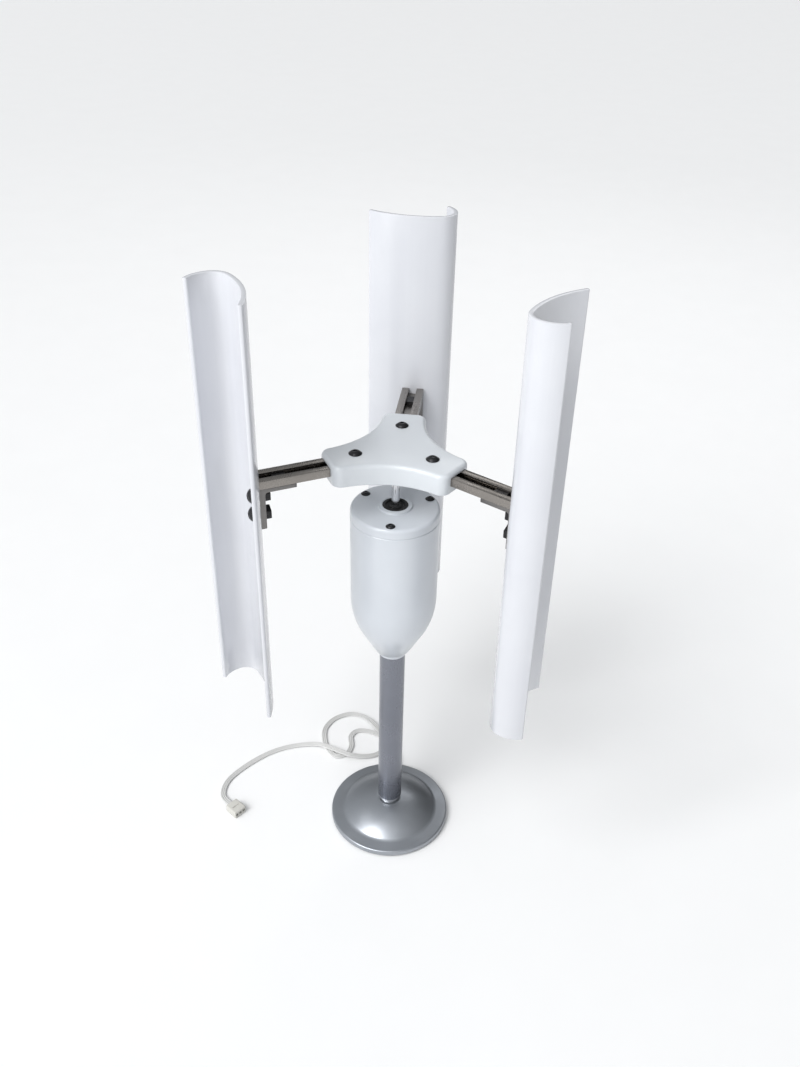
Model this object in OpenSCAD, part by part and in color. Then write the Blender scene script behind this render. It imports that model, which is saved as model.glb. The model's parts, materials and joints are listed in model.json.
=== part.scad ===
// Desk-size vertical axis wind turbine.
// Origin: centre of the base's underside. +Z up. Arm 1 points along +Y.
// Nose of each blade leads clockwise, seen from above.

/* [Base] */
// Outer radius of the round base
base_r = 43; // [38:1:55]
// Height of the flat outer ring of the base at its rim
flange_h = 5; // [4.5:0.5:7]
// Width of the flat outer ring of the base
flange_w = 9; // [6:1:12]
// Height of the dome of the base at its middle
dome_top = 17.4; // [15:0.2:22]
// Wall of the base casting
base_wall = 4; // [3:0.5:5]
// Thickness of the pad under the base
pad_t = 2; // [2:0.5:3]

/* [Mast] */
// Outer radius of the mast tube
mast_r = 8.5; // [7.5:0.25:10.5]
// Wall of the mast tube
mast_wall = 2; // [1.5:0.25:2.5]
// Height of the generator's lower end above the floor
neck_z = 156; // [100:2:220]
// Bore of the hollow stud that holds the mast
stud_bore_r = 2.8; // [2.5:0.1:3]

/* [Generator] */
// Outer radius of the generator housing
gen_r = 27.6; // [27:0.2:33]
// Wall of the housing beside the stator
gen_wall = 3.1; // [2.5:0.1:4]
// Length of the housing from the neck's lower end to the cover's top face
gen_len = 114; // [106:1:138]
// Half angle of the housing's cone
cone_angle = 27.5; // [24:0.5:30]
// Radius that blends the cone into the cylinder
shoulder_r = 57; // [40:1:65]
// Thickness of the cover
cover_t = 6.5; // [5:0.5:8]
// Radius on which the cover screws stand
cover_screw_pr = 23; // [22.6:0.1:23.4]
// Number of cover screws
cover_screw_count = 3; // [3:1:4]
// Length of the stator core
core_len = 40; // [30:1:42]

/* [Shaft] */
// Radius of the shaft
shaft_r = 2.5; // [2:0.1:2.8]
// Free height between the cover and the hub
hub_gap = 28.5; // [18:0.5:40]

/* [Hub] */
// Thickness of the hub
hub_t = 13; // [12:0.5:17]
// Distance from the axis to the end of each lobe
lobe_len = 43.5; // [38:0.5:52]
// Width of each lobe
lobe_w = 27; // [24:0.5:30]
// Distance from the axis to the middle of each hollow side
waist_r = 24; // [21:0.5:27]
// Radius on which the hub screws stand
hub_screw_pr = 25.8; // [24:0.2:30]

/* [Arms] */
// Width of the slotted arm profile
arm_w = 14; // [12:0.5:16]
// Height of the slotted arm profile
arm_h = 5; // [4.6:0.2:6]
// Width of the slot along the arm's top
arm_slot_w = 5; // [4.6:0.2:6]
// Distance from the axis to the hub side of each blade
blade_face_r = 85.5; // [75:0.5:105]

/* [Brackets] */
// Thickness of the angle bracket
bracket_t = 2.5; // [2:0.25:3]
// Thickness of the bracket leg behind the blade
bracket_leg_t = 3.5; // [3:0.25:4.5]
// Height of the bracket leg behind the blade
bracket_drop = 26; // [26:1:34]
// Distance between the two blade screws
blade_screw_gap = 12; // [10:0.5:13]

/* [Blades] */
// Length of each blade
blade_len = 264; // [200:2:320]
// Part of each blade that stands above the arm's top face
blade_above = 111.5; // [90:0.5:140]
// Wall of each blade
blade_t = 2.5; // [2:0.1:3]
// Radius of the long side of the blade section
long_r = 62; // [50:1:80]
// Angle of the long side behind the arm
tail_angle = 30; // [24:1:36]
// Angle of the long side ahead of the arm
front_angle = 13.5; // [11:0.5:18]
// Radius of the nose of the blade section
nose_r = 11; // [9:0.5:13]
// Radius of the short side of the blade section
hook_r = 18; // [14:1:22]
// Angle of the short side of the blade section
hook_angle = 50; // [40:1:60]

/* [Cable] */
// Width of the flat three-wire cable
cable_w = 4.2; // [3.6:0.1:4.4]
// Thickness of the flat three-wire cable
cable_t = 1.5; // [1.3:0.1:1.6]

/* [Hidden] */

$fn = 96;
e = 0.01;          // overlap of a cut past the face that it opens
slip = 0.03;       // clearance of a piece pressed or slid onto a round seat
side_gap = 0.1;    // clearance beside an arm, a nut or a coil in its pocket
run_gap = 0.08;    // running clearance in the seal and in the bearings

// Base
rim_lift = 0.8;                    // the casting's rim stays clear of the floor
rim_edge_r = 1.2;
pad_r = base_r - 3.5;
flange_in_r = base_r - flange_w;
flange_in_h = flange_h + 1;
dome_h = dome_top - flange_in_h;
dome_r = (flange_in_r * flange_in_r + dome_h * dome_h) / (2 * dome_h);
seat_z = dome_top - 0.8;           // flat on the dome's top, under the mast
pocket_r = 14;                     // round pocket inside the dome for the nut
pocket_z = seat_z - base_wall;
channel_w = cable_w + 2;
channel_h = 1.9;
channel_top = pad_t + channel_h;

// Mast and its hollow stud
collar_h = 1.6;
collar_r = mast_r - 1.3;
mast_in_r = mast_r - mast_wall;
mast_z = seat_z + collar_h;
stud_r = 5;
spigot_h = 14;
washer_t = 1.2;
base_nut_h = 4;
base_nut_af = 15;
stud_bottom = pocket_z - washer_t - base_nut_h - 1;

// Generator housing
neck_wall = 0.9;
neck_h = 3.5;
neck_r = mast_r + neck_wall;
cone_z = neck_z + neck_h;
cone_r = neck_r + 2.4;
mast_in_neck = 12;
mast_top = neck_z + mast_in_neck;
gen_top = neck_z + gen_len;
wall_top = gen_top - cover_t;
bore_r = gen_r - gen_wall;
corner_z = cone_z + (gen_r - cone_r) / tan(cone_angle);
blend = shoulder_r * tan(cone_angle / 2);
blend_z = corner_z + blend;
relief_z = mast_top + 4;
relief_r = 6.3;
cavity_z = mast_top + 8;
boss_r = 11;
wire_slot_w = 6;
wire_slot_h = 5;

// Bearings (16 mm outside, 5 mm wide) and what lies between them
bearing_r = 8;
bearing_w = 5;
ball_r = 1.3;
ball_pr = 5.25;
ball_count = 7;
inner_land_r = 4.4;
outer_land_r = 6.1;
cage_t = 0.9;
cage_h = 3.4;
lower_z = relief_z + 10;
upper_z = wall_top - bearing_w - 0.5;
ledge_w = 2;
core_z = blend_z + 1.5;
core_top = core_z + core_len;
tooth_count = 9;
tooth_w = 4;
tooth_in_r = 12.6;
shoe_w = 7;
shoe_t = 1.2;
yoke_r = 18.5;
coil_t = 2.1;
air_gap = 0.6;
magnet_t = 3.1;
magnet_count = 8;
magnet_hub_r = tooth_in_r - air_gap - magnet_t;
core_notch_r = 3.1;
screw_post_r = 2.8;
m3_r = 1.45;
m3_head_r = 2.9;
m3_head_h = 1.7;

// Cover: raised ring, seal and bearing seat
cover_edge_r = 1.6;
spigot_t = 2.5;
ring_h = 1.5;
ring_r = 10.5;
seal_r = 7.9;
seal_h = 3.6;
cover_boss_r = 11;
shaft_hole_r = 5;

// Hub
hub_z = gen_top + hub_gap;
hub_top = hub_z + hub_t;
lobe_corner_r = 5;
insert_r = 6;
insert_h = 9.5;
shaft_in_hub = 8;
m4_r = 2;
m4_head_r = 4;
m4_head_h = 2.2;
m4_nut_af = 7;
m4_nut_h = 3.1;
set_screw_r = 1.5;
set_screw_len = 5;

// Arms, brackets and blades
arm_top = hub_top - 3;
arm_z = arm_top - arm_h;
arm_in_r = 15;
arm_web = 1.2;
arm_lip = 1.4;
arm_side = 1.5;
arm_end_r = blade_face_r - 0.1;
bracket_len = 22;
slot_nut_r = blade_face_r - 13.5;
slot_nut_len = 8;
m5_r = 2.45;
m5_head_r = 4.5;
m5_head_h = 2.8;
m5_nut_af = 8;
m5_nut_h = 4;
blade_top = arm_top + blade_above;
blade_z = blade_top - blade_len;
screw_z1 = arm_z - bracket_t - m5_nut_af / 2 - 0.7;
nose_angle = 90 - front_angle;

// Cable and connector
cable_bend = 3;
cable_z = pad_t + 1;
grommet_out = 0.8;
cable_exit_y = base_r + grommet_out;
grommet_w = channel_w;
wire_r = 0.55;
plug_len = 11;
plug_w = 10;
plug_h = 6;
plug_at = [-118, cable_exit_y - 57.8];
plug_turn = -36;

// Route of the free cord from where it leaves the base: x, y, and height of its middle
lie = cable_t / 2;                 // lying on the floor
over = lie + 2.2;                  // passing over a turn that lies below
route_from_exit = [
    [0, 0, cable_z], [0, 6.2, 2.4], [-1, 14.2, lie + 0.1], [-5, 24.2, lie], [-16, 31.2, lie],
    [-28, 35.2, lie], [-37, 34.2, lie], [-41, 27.2, lie], [-39, 17.2, lie], [-41, 8.2, lie],
    [-49, 4.2, lie], [-57, 11.2, lie], [-62, 22.2, lie], [-63, 34.2, lie], [-57, 46.2, lie],
    [-45, 53.2, lie], [-32, 50.2, lie], [-22, 40.2, over - 0.6], [-14, 27.2, over - 0.4],
    [-14, 14.2, lie + 0.3], [-24, 7.2, lie + 0.6], [-38, 5.2, over], [-51, 9.2, over],
    [-66, 14.2, lie + 0.8], [-85, 10.2, lie], [-102, 0.2, lie], [-117, -15.8, lie],
    [-127, -32.8, lie], [-127, -47.8, lie], [-118, -57.8, plug_h / 2]];
route = [for (p = route_from_exit) p + [0, cable_exit_y, 0]];
route_steps = 2;

// ---- helpers ----

module ring(outer, inner, z, h) {
    translate([0, 0, z]) difference() {
        cylinder(r = outer, h = h);
        translate([0, 0, -e]) cylinder(r = inner, h = h + 2 * e);
    }
}

module hex(af, h) {
    rotate(30) cylinder(r = af / sqrt(3), h = h, $fn = 6);
}

module on_arms() {
    for (a = [0:2]) rotate(120 * a) children();
}

module around(count, radius) {
    for (a = [0:count - 1]) rotate(360 * a / count) translate([radius, 0, 0]) children();
}

module at_cover_screws() {
    rotate(-90) around(cover_screw_count, cover_screw_pr) children();
}

// Button head screw: head on z = 0 upwards, shank downwards, hexagon socket in the head
module button_screw(shank_r, shank_len, head_r, head_h) {
    cap_r = (head_r * head_r + head_h * head_h) / (2 * head_h);
    difference() {
        union() {
            translate([0, 0, -shank_len]) cylinder(r = shank_r, h = shank_len + e);
            intersection() {
                translate([0, 0, head_h - cap_r]) sphere(r = cap_r);
                cylinder(r = head_r, h = head_h);
            }
        }
        translate([0, 0, head_h * 0.4]) hex(head_r * 0.6, head_h);
    }
}

// ---- base ----

module foot_pad() {
    color("dimgray") cylinder(r = pad_r, h = pad_t);
}

module base_profile() {
    translate([0, dome_top - dome_r]) intersection() {
        circle(r = dome_r);
        translate([0, dome_r - dome_h]) square([flange_in_r, dome_h - (dome_top - seat_z)]);
    }
    polygon([[0, rim_lift], [base_r, rim_lift], [base_r, flange_h - rim_edge_r],
        [base_r - rim_edge_r, flange_h], [flange_in_r, flange_in_h], [0, flange_in_h]]);
    translate([base_r - rim_edge_r, flange_h - rim_edge_r]) circle(r = rim_edge_r, $fn = 48);
}

module base_dome() {
    hollow_top = flange_in_h - 1;
    color("slategray") difference() {
        rotate_extrude() base_profile();
        // recess for the pad, hollow under the flange and pocket for the nut
        translate([0, 0, -e]) cylinder(r = pad_r + side_gap, h = pad_t + e);
        cylinder(r = flange_in_r - base_wall, h = hollow_top);
        cylinder(r = pocket_r, h = pocket_z);
        cylinder(r = stud_r + side_gap, h = dome_top + e);
        // way for the cable to the rear
        translate([-channel_w / 2, pocket_r, -e]) cube([channel_w, base_r, channel_top + e]);
    }
}

module mast_stud() {
    color("silver") difference() {
        union() {
            translate([0, 0, stud_bottom]) cylinder(r = stud_r, h = seat_z - stud_bottom);
            translate([0, 0, seat_z]) cylinder(r = collar_r, h = collar_h);
            translate([0, 0, mast_z]) cylinder(r = mast_in_r - 2 * slip, h = spigot_h);
        }
        translate([0, 0, stud_bottom - e])
            cylinder(r = stud_bore_r, h = mast_z + spigot_h - stud_bottom + 2 * e);
    }
}

module base_washer() {
    color("silver") ring(9.5, stud_r + side_gap, pocket_z - washer_t, washer_t);
}

module base_nut() {
    color("silver") translate([0, 0, pocket_z - washer_t - base_nut_h]) difference() {
        hex(base_nut_af, base_nut_h);
        translate([0, 0, -e]) cylinder(r = stud_r + slip, h = base_nut_h + 2 * e);
    }
}

module cable_grommet() {
    depth = base_r - pad_r - side_gap + grommet_out;
    color("black") translate([0, pad_r + side_gap, 0]) difference() {
        translate([-grommet_w / 2, 0, rim_lift]) cube([grommet_w, depth, channel_top - rim_lift]);
        translate([-cable_w / 2, -e, cable_z - cable_t / 2]) cube([cable_w, depth + 2 * e, cable_t]);
    }
}

// ---- mast ----

module mast_tube() {
    color("lightslategray") ring(mast_r, mast_in_r, mast_z, mast_top - mast_z);
}

module mast_cable() {
    bend_z = cable_z + cable_bend;
    top = relief_z + 5;
    color("whitesmoke") {
        translate([-cable_w / 2, -cable_t / 2, bend_z]) cube([cable_w, cable_t, top - bend_z]);
        translate([-cable_w / 2, cable_bend, bend_z]) rotate([90, 0, 90])
            rotate_extrude(angle = 90) translate([-cable_bend - cable_t / 2, 0])
                square([cable_t, cable_w]);
        translate([-cable_w / 2, cable_bend, cable_z - cable_t / 2])
            cube([cable_w, cable_exit_y - cable_bend, cable_t]);
    }
}

module lead_wires() {
    z1 = relief_z + 5 + wire_r;
    turn_y = boss_r + 3;
    color("goldenrod") for (x = [-1.4, 0, 1.4]) translate([x, 0, 0]) {
        translate([0, 0, z1]) rotate([-90, 0, 0]) cylinder(r = wire_r, h = turn_y, $fn = 24);
        translate([0, turn_y, z1]) sphere(r = wire_r, $fn = 24);
        translate([0, turn_y, z1]) cylinder(r = wire_r, h = core_z - coil_t - z1 - 0.3, $fn = 24);
    }
}

// ---- generator ----

module housing_profile() {
    tangent = [gen_r - blend * sin(cone_angle), corner_z - blend * cos(cone_angle)];
    polygon([[0, neck_z], [neck_r, neck_z], [neck_r, cone_z], [cone_r, cone_z], tangent,
        [gen_r, blend_z], [gen_r, wall_top], [0, wall_top]]);
    intersection() {
        translate([gen_r - shoulder_r, blend_z]) circle(r = shoulder_r, $fn = 180);
        polygon([tangent, [gen_r, corner_z], [gen_r, blend_z], [gen_r - 8, blend_z]]);
    }
}

module generator_housing() {
    ledge_r = bore_r - ledge_w;
    boss_top = lower_z + bearing_w;
    color("ghostwhite") difference() {
        union() {
            difference() {
                rotate_extrude() housing_profile();
                translate([0, 0, core_z]) cylinder(r = bore_r, h = wall_top);
                rotate_extrude() polygon([[0, cavity_z], [boss_r + 3.5, cavity_z],
                    [ledge_r, blend_z - 9], [ledge_r, core_z + e], [0, core_z + e]]);
            }
            translate([0, 0, cavity_z - e]) cylinder(r = boss_r, h = boss_top - cavity_z + e);
            // posts for the cover screws
            intersection() {
                at_cover_screws()
                    translate([0, 0, core_top + 1.5]) cylinder(r = screw_post_r, h = wall_top - core_top - 1.5);
                cylinder(r = bore_r + gen_wall / 2, h = gen_top);
            }
        }
        translate([0, 0, neck_z - e]) cylinder(r = mast_r + slip, h = mast_in_neck + e);
        cylinder(r = stud_bore_r + 0.4, h = relief_z + e);
        translate([0, 0, relief_z]) cylinder(r = relief_r, h = lower_z - relief_z + e);
        translate([0, 0, lower_z]) cylinder(r = bearing_r + slip, h = bearing_w + e);
        translate([-wire_slot_w / 2, 0, cavity_z]) cube([wire_slot_w, boss_r + e, wire_slot_h]);
        at_cover_screws() translate([0, 0, core_top + 3]) cylinder(r = m3_r + slip, h = gen_top);
    }
}

module generator_cover() {
    seal_z = gen_top + ring_h - seal_h;
    color("white") difference() {
        union() {
            rotate_extrude() {
                square_w = gen_r - cover_edge_r;
                translate([0, wall_top]) square([gen_r, cover_t - cover_edge_r]);
                translate([0, wall_top]) square([square_w, cover_t]);
                translate([square_w, gen_top - cover_edge_r]) circle(r = cover_edge_r, $fn = 48);
                translate([0, gen_top - e]) square([ring_r, ring_h + e]);
                translate([0, upper_z]) square([cover_boss_r, wall_top - upper_z + e]);
            }
            ring(bore_r - side_gap, bore_r - side_gap - spigot_t, wall_top - spigot_t, spigot_t + e);
        }
        translate([0, 0, upper_z - e]) cylinder(r = bearing_r + slip, h = bearing_w + e);
        cylinder(r = shaft_hole_r, h = gen_top + ring_h + 1);
        translate([0, 0, seal_z]) cylinder(r = seal_r + slip, h = seal_h + e);
        at_cover_screws() {
            translate([0, 0, wall_top - e]) cylinder(r = m3_r + side_gap, h = cover_t + 2 * e);
            translate([0, 0, wall_top - spigot_t - e]) cylinder(r = screw_post_r + 0.3, h = spigot_t + e);
        }
    }
}

module cover_screws() {
    color("black") at_cover_screws() translate([0, 0, gen_top])
        button_screw(m3_r, wall_top - core_top + cover_t - 5, m3_head_r, m3_head_h);
}

module shaft_seal() {
    seal_z = gen_top + ring_h - seal_h;
    color("black") difference() {
        ring(seal_r, shaft_r + run_gap, seal_z, seal_h - 0.3);
        ring(seal_r - 1.6, shaft_r + 1.4, seal_z + seal_h - 1.3, 2);
    }
}

module stator_core() {
    color("gray") difference() {
        union() {
            ring(bore_r - side_gap, yoke_r, core_z, core_len);
            around(tooth_count, 0) {
                translate([tooth_in_r + 0.6, -tooth_w / 2, core_z])
                    cube([yoke_r - tooth_in_r, tooth_w, core_len]);
                translate([tooth_in_r - 0.4, -shoe_w / 2, core_z]) cube([shoe_t + 0.4, shoe_w, core_len]);
            }
        }
        translate([0, 0, core_z - e]) cylinder(r = tooth_in_r, h = core_len + 2 * e);
        at_cover_screws() translate([0, 0, core_z - e]) cylinder(r = core_notch_r, h = core_len + 2 * e);
    }
}

module stator_coils() {
    inner_w = tooth_w + 2 * side_gap;
    outer_w = inner_w + 2 * coil_t;
    r0 = tooth_in_r + shoe_t + 0.3;
    depth = sqrt(yoke_r * yoke_r - outer_w * outer_w / 4) - r0 - 0.2;
    color("peru") around(tooth_count, 0) difference() {
        translate([r0, -outer_w / 2, core_z - coil_t - side_gap])
            cube([depth, outer_w, core_len + 2 * (coil_t + side_gap)]);
        translate([r0 - e, -inner_w / 2, core_z - side_gap])
            cube([depth + 2 * e, inner_w, core_len + 2 * side_gap]);
    }
}

// ---- bearings ----

module ball_groove() {
    rotate_extrude() translate([ball_pr, 0]) circle(r = ball_r + run_gap, $fn = 48);
}

module bearing_outer(z) {
    color("silver") translate([0, 0, z]) difference() {
        ring(bearing_r, outer_land_r, 0, bearing_w);
        translate([0, 0, bearing_w / 2]) ball_groove();
    }
}

module bearing_inner(z) {
    color("silver") translate([0, 0, z]) difference() {
        ring(inner_land_r, shaft_r + slip, 0, bearing_w);
        translate([0, 0, bearing_w / 2]) ball_groove();
    }
}

module bearing_balls(z) {
    color("gainsboro") translate([0, 0, z + bearing_w / 2])
        around(ball_count, ball_pr) sphere(r = ball_r, $fn = 48);
}

module bearing_cage(z) {
    color("khaki") translate([0, 0, z + bearing_w / 2]) difference() {
        ring(ball_pr + cage_t / 2, ball_pr - cage_t / 2, -cage_h / 2, cage_h);
        around(ball_count, ball_pr) rotate([0, 90, 0])
            cylinder(r = ball_r + run_gap, h = 4 * cage_t, center = true, $fn = 48);
    }
}

// ---- rotor of the generator ----

module shaft() {
    top = hub_z + shaft_in_hub;
    bottom = lower_z - 3;
    color("silver") difference() {
        translate([0, 0, bottom]) cylinder(r = shaft_r, h = top - bottom);
        ring(shaft_r + 1, shaft_r - 0.4, lower_z - 1, 0.9);
    }
}

module shaft_circlip() {
    color("dimgray") difference() {
        ring(shaft_r + 1.4, shaft_r - 0.35, lower_z - 0.9, 0.7);
        translate([-0.9, 0, lower_z - 2]) cube([1.8, 2 * shaft_r, 3]);
    }
}

module spacer(z0, z1) {
    color("silver") ring(shaft_r + 1.3, shaft_r + slip, z0, z1 - z0);
}

module magnet_hub() {
    color("gray") ring(magnet_hub_r, shaft_r + slip, core_z, core_len);
}

module magnets() {
    gap = 1.2;
    color("darkgray") difference() {
        ring(magnet_hub_r + magnet_t, magnet_hub_r + slip, core_z + 1, core_len - 2);
        for (a = [0:magnet_count / 2 - 1]) rotate(360 * a / magnet_count)
            translate([-gen_r, -gap / 2, core_z]) cube([2 * gen_r, gap, core_len]);
    }
}

// ---- hub ----

module hub_outline() {
    corner = [lobe_w / 2, lobe_len - lobe_corner_r];
    // chord between facing corners of two lobes, and the arc that hollows it
    dir = [cos(30), sin(30)];
    mid = corner * dir;
    half = abs(corner[0] * -sin(30) + corner[1] * cos(30));
    sag = mid - waist_r;
    side_r = (half * half + sag * sag) / (2 * sag);
    points = [for (a = [0:2], s = [1, -1]) let (t = 120 * a, x = s * corner[0], y = corner[1])
        [x * cos(t) - y * sin(t), x * sin(t) + y * cos(t)]];
    difference() {
        union() {
            polygon(points);
            on_arms() {
                translate([-lobe_w / 2 + lobe_corner_r, 0]) square([lobe_w - 2 * lobe_corner_r, lobe_len]);
                for (s = [-1, 1]) translate([s * (lobe_w / 2 - lobe_corner_r), lobe_len - lobe_corner_r])
                    circle(r = lobe_corner_r, $fn = 48);
            }
        }
        on_arms() rotate(30) translate([waist_r + side_r, 0]) circle(r = side_r, $fn = 180);
    }
}

module hub_plate() {
    color("whitesmoke") difference() {
        translate([0, 0, hub_z]) linear_extrude(hub_t) hub_outline();
        on_arms() {
            translate([-arm_w / 2 - side_gap, arm_in_r - side_gap, arm_z])
                cube([arm_w + 2 * side_gap, lobe_len, arm_h]);
            translate([0, hub_screw_pr, hub_z - e]) cylinder(r = m4_r + side_gap, h = hub_t + 2 * e);
            translate([0, hub_screw_pr, hub_z - e]) hex(m4_nut_af + 2 * side_gap, m4_nut_h + 0.3);
        }
        translate([0, 0, hub_z - e]) cylinder(r = insert_r + slip, h = insert_h + e);
        rotate(150) translate([0, 0, hub_z + 4]) rotate([0, 90, 0])
            cylinder(r = set_screw_r + 0.2, h = lobe_len);
    }
}

module hub_insert() {
    color("goldenrod") difference() {
        ring(insert_r, shaft_r + slip, hub_z, insert_h);
        rotate(150) translate([0, 0, hub_z + 4]) rotate([0, 90, 0])
            cylinder(r = set_screw_r + slip, h = insert_r + 1);
    }
}

module hub_set_screw() {
    color("black") rotate(150) translate([shaft_r + 0.05, 0, hub_z + 4]) rotate([0, 90, 0]) difference() {
        cylinder(r = set_screw_r, h = set_screw_len);
        translate([0, 0, set_screw_len - 1.5]) hex(1.5, 2);
    }
}

module hub_screws() {
    color("black") on_arms() translate([0, hub_screw_pr, hub_top])
        button_screw(m4_r, hub_t - 0.4, m4_head_r, m4_head_h);
}

module hub_nuts() {
    color("dimgray") on_arms() translate([0, hub_screw_pr, hub_z + 0.1]) difference() {
        hex(m4_nut_af, m4_nut_h);
        translate([0, 0, -e]) cylinder(r = m4_r + slip, h = m4_nut_h + 2 * e);
    }
}

// ---- arms and brackets ----

module arm() {
    len = arm_end_r - arm_in_r;
    color("silver") translate([0, arm_in_r, arm_z]) difference() {
        translate([-arm_w / 2, 0, 0]) cube([arm_w, len, arm_h]);
        translate([-arm_w / 2 + arm_side, -e, arm_web])
            cube([arm_w - 2 * arm_side, len + 2 * e, arm_h - arm_web - arm_lip]);
        translate([-arm_slot_w / 2, -e, arm_web]) cube([arm_slot_w, len + 2 * e, arm_h]);
        for (y = [hub_screw_pr, slot_nut_r])
            translate([0, y - arm_in_r, -e]) cylinder(r = m4_r + side_gap, h = arm_h);
    }
}

module slot_nuts() {
    h = arm_h - arm_web - arm_lip - side_gap;
    color("gray") on_arms() translate([0, slot_nut_r, arm_z + arm_web]) difference() {
        translate([-arm_w / 2 + arm_side + side_gap, -slot_nut_len / 2, 0])
            cube([arm_w - 2 * arm_side - 2 * side_gap, slot_nut_len, h]);
        translate([0, 0, -e]) cylinder(r = m4_r + slip, h = h + 2 * e);
    }
}

module bracket_screws() {
    color("black") on_arms() translate([0, slot_nut_r, arm_z - bracket_t]) rotate([180, 0, 0])
        button_screw(m4_r, bracket_t + arm_h - arm_lip, m4_head_r, m4_head_h);
}

module bracket() {
    top = arm_z;
    color("silver") difference() {
        union() {
            translate([-arm_w / 2, blade_face_r - bracket_len, top - bracket_t])
                cube([arm_w, bracket_len - 0.05, bracket_t]);
            translate([-arm_w / 2, blade_face_r - bracket_leg_t, top - bracket_drop])
                cube([arm_w, bracket_leg_t - 0.05, bracket_drop]);
        }
        translate([0, slot_nut_r, top - bracket_t - e]) cylinder(r = m4_r + side_gap, h = bracket_t + 2 * e);
        at_blade_screws() cylinder(r = m5_r + side_gap, h = 2 * bracket_leg_t, center = true);
    }
}

// Places the two screws of one blade: z runs outwards from the blade's hub side
module at_blade_screws() {
    for (i = [0, 1]) translate([0, blade_face_r, screw_z1 - i * blade_screw_gap])
        rotate([-90, 0, 0]) children();
}

module blade_screws() {
    shank = blade_t + bracket_leg_t + m5_nut_h + 0.7;
    color("black") on_arms() at_blade_screws() translate([0, 0, blade_t + 0.2])
        button_screw(m5_r, shank, m5_head_r, m5_head_h);
}

module blade_nuts() {
    color("black") on_arms() at_blade_screws() translate([0, 0, -bracket_leg_t - m5_nut_h]) difference() {
        rotate(30) hex(m5_nut_af, m5_nut_h);
        translate([0, 0, -e]) cylinder(r = m5_r + slip, h = m5_nut_h + 2 * e);
    }
}

// ---- blades ----

// Wall bent to an arc about the origin, from angle a0 to a1
module arc_wall(r, a0, a1) {
    am = (a0 + a1) / 2;
    far = 1.5 * r;
    intersection() {
        difference() {
            circle(r = r, $fn = 180);
            circle(r = r - blade_t, $fn = 180);
        }
        polygon([[0, 0], far * [cos(a0), sin(a0)], far * [cos(am), sin(am)], far * [cos(a1), sin(a1)]]);
    }
}

// Section of the blade: y runs outwards, the nose leads towards +x,
// and the hub side touches y = 0 at x = 0
module blade_section() {
    lead = 270 + front_angle;
    nose_at = (long_r - nose_r) * [cos(lead), sin(lead)] + [0, long_r];
    hook_at = nose_at - [hook_r - nose_r, 0];
    translate([0, long_r]) arc_wall(long_r, 270 - tail_angle, lead);
    translate(nose_at) arc_wall(nose_r, lead, 360);
    translate(hook_at) arc_wall(hook_r, 0, hook_angle);
}

module blade() {
    color("white") difference() {
        translate([0, blade_face_r, blade_z]) linear_extrude(blade_len) blade_section();
        at_blade_screws() cylinder(r = m5_r + side_gap, h = 4 * blade_t, center = true);
    }
}

// ---- free cord and its connector ----

function spline(p0, p1, p2, p3, t) =
    0.5 * (2 * p1 + (p2 - p0) * t + (2 * p0 - 5 * p1 + 4 * p2 - p3) * t * t
        + (3 * p1 - p0 - 3 * p2 + p3) * t * t * t);

function route_point(i) = route[max(0, min(len(route) - 1, i))];

// No point of the cord is lower than where it lies on the floor
function above_floor(p) = [p[0], p[1], max(p[2], lie)];

function path() = concat(
    [for (i = [0:len(route) - 2], k = [0:route_steps - 1]) above_floor(
        spline(route_point(i - 1), route_point(i), route_point(i + 1), route_point(i + 2), k / route_steps))],
    [route[len(route) - 1]]);

module cord() {
    p = path();
    n = len(p);
    w = cable_w / 2;
    t = cable_t / 2;
    // flat eight-sided section, starting at the right side
    shape = [[w, -t / 2], [w, t / 2], [0.75 * w, t], [-0.75 * w, t],
        [-w, t / 2], [-w, -t / 2], [-0.75 * w, -t], [0.75 * w, -t]];
    function heading(i) = i == 0 ? [0, 1] : i == n - 1 ? [cos(plug_turn), sin(plug_turn)] :
        let (d = p[i + 1] - p[i - 1]) [d[0], d[1]] / norm([d[0], d[1]]);
    points = [for (i = [0:n - 1]) let (h = heading(i)) for (s = shape)
        p[i] + [h[1] * s[0], -h[0] * s[0], s[1]]];
    sides = [for (i = [0:n - 2], k = [0:7])
        let (a = 8 * i + k, b = 8 * i + (k + 1) % 8) [a, a + 8, b + 8, b]];
    color("whitesmoke") polyhedron(points,
        concat([[for (k = [0:7]) k]], sides, [[for (k = [7:-1:0]) 8 * (n - 1) + k]]), convexity = 10);
}

module at_plug() {
    translate([plug_at[0], plug_at[1], 0]) rotate(plug_turn) children();
}

module cord_connector() {
    pocket = 2.2;
    color("gainsboro") at_plug() difference() {
        translate([0, -plug_w / 2, 0]) cube([plug_len, plug_w, plug_h]);
        for (y = [-3, 0, 3]) translate([3, y - pocket / 2, plug_h / 2 - pocket / 2])
            cube([plug_len, pocket, pocket]);
    }
}

module connector_contacts() {
    size = 2;
    color("silver") at_plug() for (y = [-3, 0, 3]) translate([3, y - size / 2, plug_h / 2 - size / 2])
        difference() {
            cube([plug_len - 4, size, size]);
            translate([1, 0.4, 0.4]) cube([plug_len, size - 0.8, size - 0.8]);
        }
}

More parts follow.
